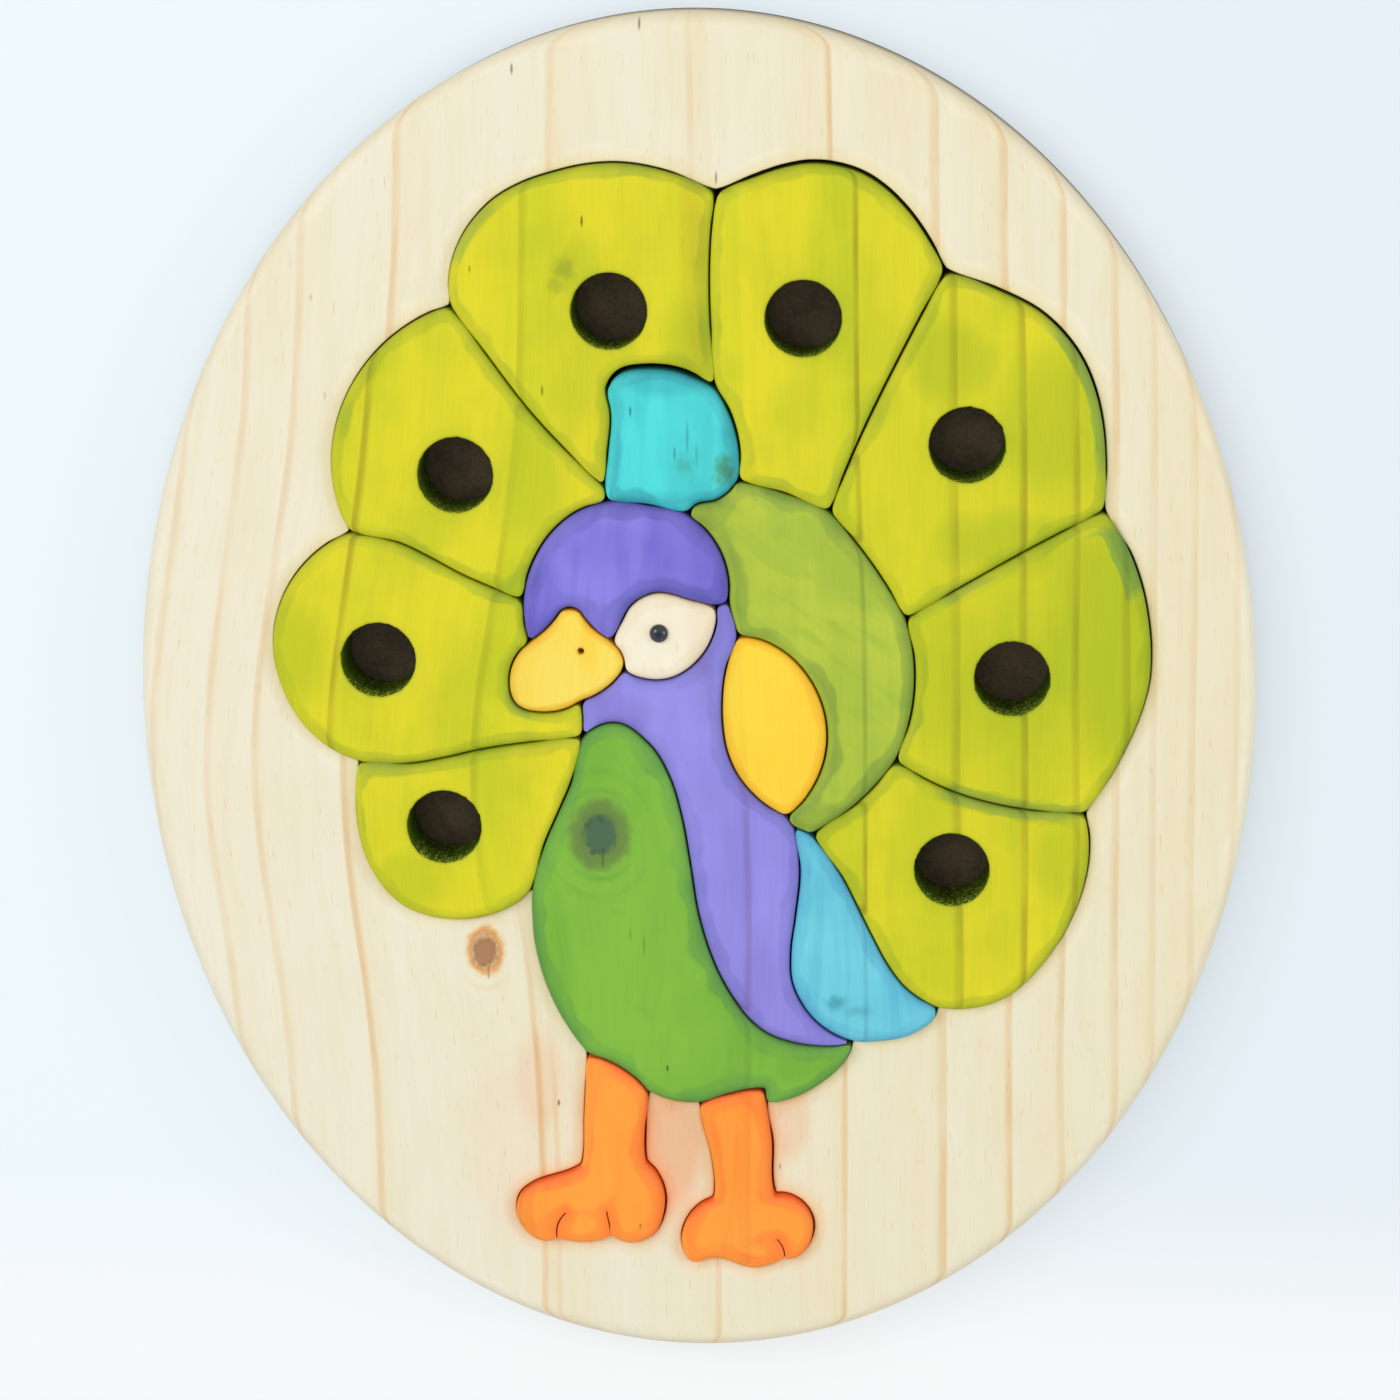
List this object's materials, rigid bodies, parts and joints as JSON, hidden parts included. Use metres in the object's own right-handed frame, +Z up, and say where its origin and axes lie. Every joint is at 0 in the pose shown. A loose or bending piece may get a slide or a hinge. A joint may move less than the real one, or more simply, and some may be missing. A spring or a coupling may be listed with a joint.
{
  "type": "jigsaw puzzle",
  "caption": "Oval wooden tray jigsaw of a peacock: stained loose pine pieces stand in a sawn pine tray on a dark backing board.",
  "frame": {"origin": "centre of the board's underside", "axes": "+X to the right of the picture, +Y towards the crest, +Z up out of the board"},
  "size_m": [0.3, 0.368, 0.0235],
  "materials": {
    "backing_board": "dark satin",
    "pine": "satin",
    "feather_stain": "satin stain",
    "crest_stain": "satin stain",
    "head_stain": "satin stain",
    "neck_stain": "satin stain",
    "eye_stain": "satin stain",
    "beak_stain": "satin stain",
    "breast_stain": "satin stain",
    "back_stain": "satin stain",
    "shoulder_stain": "satin stain",
    "wing_stain": "satin stain",
    "leg_stain": "satin stain",
    "pupil_bead": "gloss"
  },
  "bodies": {
    "tray": {"tray": "pine", "backing_board": "backing_board"},
    "tail_feather_top_left": {"tail_feather_top_left": "feather_stain"},
    "tail_feather_top_right": {"tail_feather_top_right": "feather_stain"},
    "tail_feather_upper_right": {"tail_feather_upper_right": "feather_stain"},
    "tail_feather_middle_right": {"tail_feather_middle_right": "feather_stain"},
    "tail_feather_lower_right": {"tail_feather_lower_right": "feather_stain"},
    "tail_feather_lower_left": {"tail_feather_lower_left": "feather_stain"},
    "tail_feather_middle_left": {"tail_feather_middle_left": "feather_stain"},
    "tail_feather_upper_left": {"tail_feather_upper_left": "feather_stain"},
    "crest": {"crest": "crest_stain"},
    "head": {"head": "head_stain"},
    "eye": {"eye": "eye_stain", "pupil": "pupil_bead"},
    "beak": {"beak": "beak_stain"},
    "neck": {"neck": "neck_stain"},
    "breast": {"breast": "breast_stain"},
    "back": {"back": "back_stain"},
    "wing_shoulder": {"wing_shoulder": "shoulder_stain"},
    "wing_tip": {"wing_tip": "wing_stain"},
    "left_leg": {"left_leg": "leg_stain"},
    "right_leg": {"right_leg": "leg_stain"}
  },
  "joints": [
    {"name": "tail_feather_top_left_lift", "type": "slide", "parent": "tray", "child": "tail_feather_top_left", "axis": [0, 0, 1], "range_m": [0, 0.03]},
    {"name": "tail_feather_top_right_lift", "type": "slide", "parent": "tray", "child": "tail_feather_top_right", "axis": [0, 0, 1], "range_m": [0, 0.03]},
    {"name": "tail_feather_upper_right_lift", "type": "slide", "parent": "tray", "child": "tail_feather_upper_right", "axis": [0, 0, 1], "range_m": [0, 0.03]},
    {"name": "tail_feather_middle_right_lift", "type": "slide", "parent": "tray", "child": "tail_feather_middle_right", "axis": [0, 0, 1], "range_m": [0, 0.03]},
    {"name": "tail_feather_lower_right_lift", "type": "slide", "parent": "tray", "child": "tail_feather_lower_right", "axis": [0, 0, 1], "range_m": [0, 0.03]},
    {"name": "tail_feather_lower_left_lift", "type": "slide", "parent": "tray", "child": "tail_feather_lower_left", "axis": [0, 0, 1], "range_m": [0, 0.03]},
    {"name": "tail_feather_middle_left_lift", "type": "slide", "parent": "tray", "child": "tail_feather_middle_left", "axis": [0, 0, 1], "range_m": [0, 0.03]},
    {"name": "tail_feather_upper_left_lift", "type": "slide", "parent": "tray", "child": "tail_feather_upper_left", "axis": [0, 0, 1], "range_m": [0, 0.03]},
    {"name": "crest_lift", "type": "slide", "parent": "tray", "child": "crest", "axis": [0, 0, 1], "range_m": [0, 0.03]},
    {"name": "head_lift", "type": "slide", "parent": "tray", "child": "head", "axis": [0, 0, 1], "range_m": [0, 0.03]},
    {"name": "eye_lift", "type": "slide", "parent": "tray", "child": "eye", "axis": [0, 0, 1], "range_m": [0, 0.03]},
    {"name": "beak_lift", "type": "slide", "parent": "tray", "child": "beak", "axis": [0, 0, 1], "range_m": [0, 0.03]},
    {"name": "neck_lift", "type": "slide", "parent": "tray", "child": "neck", "axis": [0, 0, 1], "range_m": [0, 0.03]},
    {"name": "breast_lift", "type": "slide", "parent": "tray", "child": "breast", "axis": [0, 0, 1], "range_m": [0, 0.03]},
    {"name": "back_lift", "type": "slide", "parent": "tray", "child": "back", "axis": [0, 0, 1], "range_m": [0, 0.03]},
    {"name": "wing_shoulder_lift", "type": "slide", "parent": "tray", "child": "wing_shoulder", "axis": [0, 0, 1], "range_m": [0, 0.03]},
    {"name": "wing_tip_lift", "type": "slide", "parent": "tray", "child": "wing_tip", "axis": [0, 0, 1], "range_m": [0, 0.03]},
    {"name": "left_leg_lift", "type": "slide", "parent": "tray", "child": "left_leg", "axis": [0, 0, 1], "range_m": [0, 0.03]},
    {"name": "right_leg_lift", "type": "slide", "parent": "tray", "child": "right_leg", "axis": [0, 0, 1], "range_m": [0, 0.03]}
  ]
}
